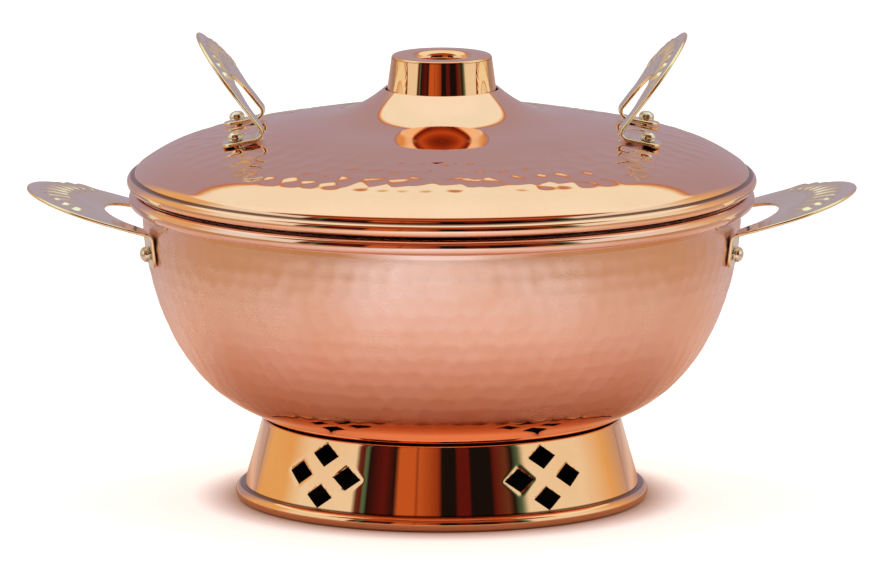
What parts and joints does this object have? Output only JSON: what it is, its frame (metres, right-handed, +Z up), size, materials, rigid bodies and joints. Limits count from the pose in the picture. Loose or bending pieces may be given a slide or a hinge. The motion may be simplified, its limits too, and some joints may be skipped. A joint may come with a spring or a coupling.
{
  "type": "chimney hot pot",
  "caption": "Round hammered copper hot pot on a vented base, with a tapered fire tube through the middle, a ring-shaped lift-off lid and riveted brass plate handles.",
  "frame": {"origin": "centre of the round foot, on the surface that the pot stands on", "axes": "+Z up along the fire tube; +X through the middle of the right-hand handles; -Y is the front, between the handles"},
  "size_m": [0.364, 0.276, 0.2054],
  "materials": {
    "bowl_copper": "hammered satin copper",
    "lid_copper": "hammered polished copper",
    "polished_copper": "mirror-polished copper",
    "handle_brass": "pressed and polished pale brass",
    "rivet_nickel": "nickel-plated, domed heads",
    "rim_wire": "plain drawn wire"
  },
  "bodies": {
    "pot": {"bowl": "bowl_copper", "bowl_rim_wire": "rim_wire", "fire_tube": "polished_copper", "chimney_throat": "polished_copper", "base_skirt": "polished_copper", "base_rim_wire": "rim_wire", "side_handle_right": "handle_brass", "side_rivet_right_front": "rivet_nickel", "side_burr_right_front": "polished_copper", "side_rivet_right_back": "rivet_nickel", "side_burr_right_back": "polished_copper", "side_handle_left": "handle_brass", "side_rivet_left_front": "rivet_nickel", "side_burr_left_front": "polished_copper", "side_rivet_left_back": "rivet_nickel", "side_burr_left_back": "polished_copper"},
    "lid": {"lid": "lid_copper", "lid_rim_wire": "rim_wire", "lid_handle_right": "handle_brass", "lid_rivet_right_front": "rivet_nickel", "lid_burr_right_front": "polished_copper", "lid_rivet_right_back": "rivet_nickel", "lid_burr_right_back": "polished_copper", "lid_handle_left": "handle_brass", "lid_rivet_left_front": "rivet_nickel", "lid_burr_left_front": "polished_copper", "lid_rivet_left_back": "rivet_nickel", "lid_burr_left_back": "polished_copper"}
  },
  "joints": [
    {"name": "lid_lift", "type": "slide", "parent": "pot", "child": "lid", "axis": [0, 0, 1], "range_m": [0, 0.07]}
  ]
}
